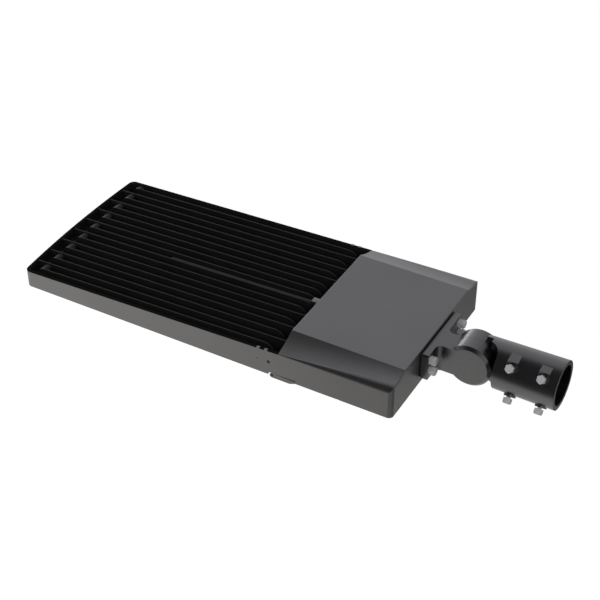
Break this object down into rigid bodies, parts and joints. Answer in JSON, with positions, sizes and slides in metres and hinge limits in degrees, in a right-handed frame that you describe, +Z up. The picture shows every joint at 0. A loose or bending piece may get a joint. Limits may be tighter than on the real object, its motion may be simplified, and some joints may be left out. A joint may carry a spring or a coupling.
{
  "type": "led flood light",
  "caption": "Flat outdoor LED area light with a finned heat sink, a driver bay with a hinged door, and a tilting slip fitter with set screws for a pole tenon.",
  "frame": {"origin": "centre of the tenon bore, in the plane of its mouth", "axes": "+X along the bore, out of its mouth and away from the luminaire; +Z up, away from the light-emitting side; +Y completes the right hand"},
  "size_m": [0.8543, 0.3, 0.0812],
  "materials": {
    "housing_grey": "matte",
    "sink_black": "matte",
    "fitter_grey": "matte",
    "zinc_steel": "satin",
    "black_rubber": "matte",
    "clear_lens": "gloss",
    "white_board": "matte",
    "led_phosphor": "matte",
    "driver_metal": "satin",
    "black_plastic": "matte",
    "grey_plastic": "matte"
  },
  "bodies": {
    "slip_fitter": {"slip_fitter": "fitter_grey", "set_screws": "zinc_steel"},
    "luminaire": {"housing": "housing_grey", "heat_sink": "sink_black", "heat_sink_screws": "zinc_steel", "led_boards": "white_board", "led_chips": "led_phosphor", "lens_gaskets": "black_rubber", "lens_plates": "clear_lens", "lens_screws": "zinc_steel", "driver_case": "driver_metal", "driver_screws": "zinc_steel", "surge_protector": "black_plastic", "terminal_block": "grey_plastic", "bay_screws": "zinc_steel", "door_hinge_pins": "zinc_steel", "mount_gasket": "black_rubber", "wire_grommet": "black_rubber", "knuckle_base": "fitter_grey", "mount_bolts": "zinc_steel", "mount_flat_washers": "zinc_steel", "mount_spring_washers": "zinc_steel", "knuckle_bolt": "zinc_steel", "knuckle_flat_washer": "zinc_steel", "knuckle_spring_washer": "zinc_steel"},
    "driver_door": {"driver_door": "housing_grey", "door_gasket": "black_rubber", "door_screws": "zinc_steel"}
  },
  "joints": [
    {"name": "tilt", "type": "hinge", "parent": "slip_fitter", "child": "luminaire", "pos_m": [-0.1366, 0, -0.003], "axis": [0, 1, 0], "range_deg": [-90, 90]},
    {"name": "door_hinge", "type": "hinge", "parent": "luminaire", "child": "driver_door", "pos_m": [-0.3941, 0, -0.0349], "axis": [0, 1, 0], "range_deg": [0, 100]}
  ]
}
